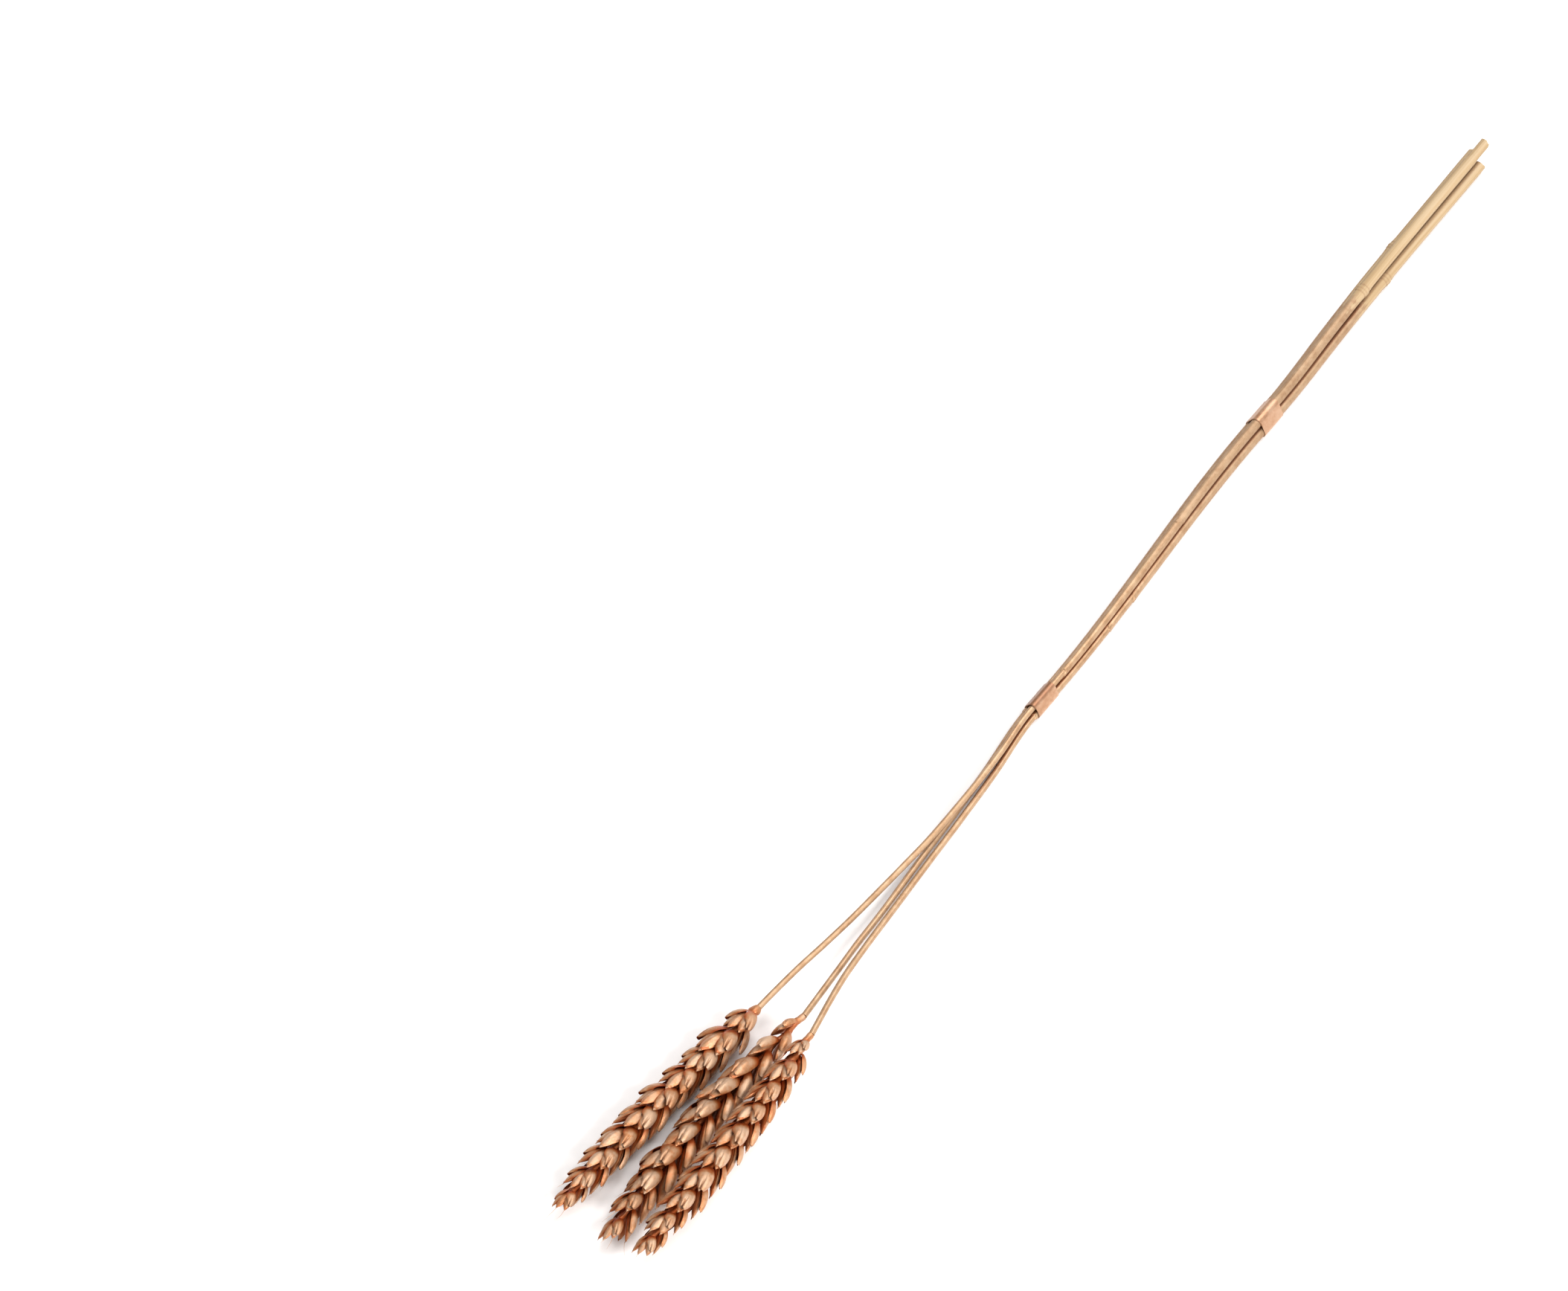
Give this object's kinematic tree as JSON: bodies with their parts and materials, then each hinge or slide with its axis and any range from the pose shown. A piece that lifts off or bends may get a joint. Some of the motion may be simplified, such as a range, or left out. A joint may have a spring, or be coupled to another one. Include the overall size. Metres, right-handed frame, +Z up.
{
  "type": "wheat ear pick",
  "caption": "Dried wheat ears on their cut straws, sprayed in satin copper and bound side by side with two bands of copper tape; lies flat.",
  "frame": {"origin": "middle of the lower tape band's flat underside, on the surface the pick lies on", "axes": "+X along the straws towards their cut ends, +Z up, +Y towards the side of the left ear"},
  "size_m": [0.5808, 0.0467, 0.0196],
  "materials": {
    "ear_copper": "satin copper spray over dry husk",
    "straw_copper": "thin satin copper spray over ribbed straw, bare at the foot",
    "tape_copper": "copper-sprayed paper tape, matt"
  },
  "bodies": {
    "root": {"ear_left": "ear_copper", "ear_middle": "ear_copper", "ear_right": "ear_copper", "straw_left": "straw_copper", "straw_middle": "straw_copper", "straw_right": "straw_copper", "tape_band_lower": "tape_copper", "tape_band_upper": "tape_copper"}
  },
  "joints": []
}
